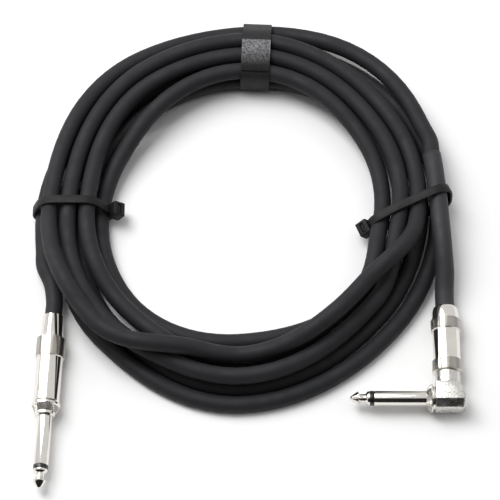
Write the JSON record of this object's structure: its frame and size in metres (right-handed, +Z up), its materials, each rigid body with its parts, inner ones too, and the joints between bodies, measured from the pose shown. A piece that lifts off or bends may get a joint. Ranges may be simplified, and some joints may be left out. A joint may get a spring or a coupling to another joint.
{
  "type": "instrument cable",
  "caption": "Coiled instrument lead with a straight and a right-angle jack plug whose barrels unscrew, held by nylon ties and a hook-and-loop strap.",
  "frame": {"origin": "on the table, at the centre of the coil's and plugs' bounding rectangle", "axes": "+Z up from the table; the straight plug points along -Y and the right-angle plug's pin along -X"},
  "size_m": [0.1846, 0.2236, 0.0237],
  "materials": {
    "jacket": "matte black jacket",
    "shrink": "satin black shrunk sleeve",
    "nylon": "satin black nylon",
    "webbing": "black woven hook and loop",
    "nickel": "polished nickel plate",
    "cast_nickel": "satin grainy nickel plate on a casting",
    "black_insulator": "black moulding",
    "pale_insulator": "pale plastic",
    "tinned_brass": "tinned brass",
    "copper": "bare copper strands"
  },
  "bodies": {
    "lead": {"cable_coil": "jacket", "cable_straight_end": "jacket", "cable_angle_end": "jacket", "marker_sleeve": "shrink", "cable_tie_left": "nylon", "cable_tie_right": "nylon", "top_strap": "webbing", "straight_tip": "nickel", "straight_tip_insulator": "black_insulator", "straight_sleeve": "nickel", "straight_rear_washer": "black_insulator", "straight_tip_lug": "tinned_brass", "straight_ground_clamp": "tinned_brass", "straight_core": "pale_insulator", "straight_conductor": "copper", "straight_screen_tail": "copper", "angle_tip": "nickel", "angle_tip_insulator": "black_insulator", "angle_sleeve": "nickel", "angle_elbow": "cast_nickel", "angle_lug_insulator": "pale_insulator", "angle_tip_lug": "tinned_brass", "angle_ground_clamp": "tinned_brass", "angle_core": "pale_insulator", "angle_conductor": "copper", "angle_screen_tail": "copper"},
    "straight_liner": {"straight_liner": "pale_insulator"},
    "straight_barrel": {"straight_barrel": "nickel"},
    "angle_liner": {"angle_liner": "pale_insulator"},
    "angle_barrel": {"angle_barrel": "nickel"}
  },
  "joints": [
    {"name": "straight_barrel_back_off", "type": "slide", "parent": "lead", "child": "straight_liner", "axis": [0.0384, 0.9993, 0], "range_m": [0, 0.005]},
    {"name": "straight_barrel_unscrew", "type": "hinge", "parent": "straight_liner", "child": "straight_barrel", "pos_m": [-0.08246, -0.06006, 0.00615], "axis": [0.0384, 0.9993, 0], "range_deg": [0, 1800]},
    {"name": "angle_barrel_back_off", "type": "slide", "parent": "lead", "child": "angle_liner", "axis": [0, 1, 0], "range_m": [0, 0.005]},
    {"name": "angle_barrel_unscrew", "type": "hinge", "parent": "angle_liner", "child": "angle_barrel", "pos_m": [0.08497, -0.04545, 0.0064], "axis": [0, 1, 0], "range_deg": [0, 1800]}
  ],
  "couplings": [
    {"joint": "straight_barrel_unscrew", "follows": "straight_barrel_back_off", "rad_per_m": 6283.2},
    {"joint": "angle_barrel_unscrew", "follows": "angle_barrel_back_off", "rad_per_m": 6283.2}
  ]
}
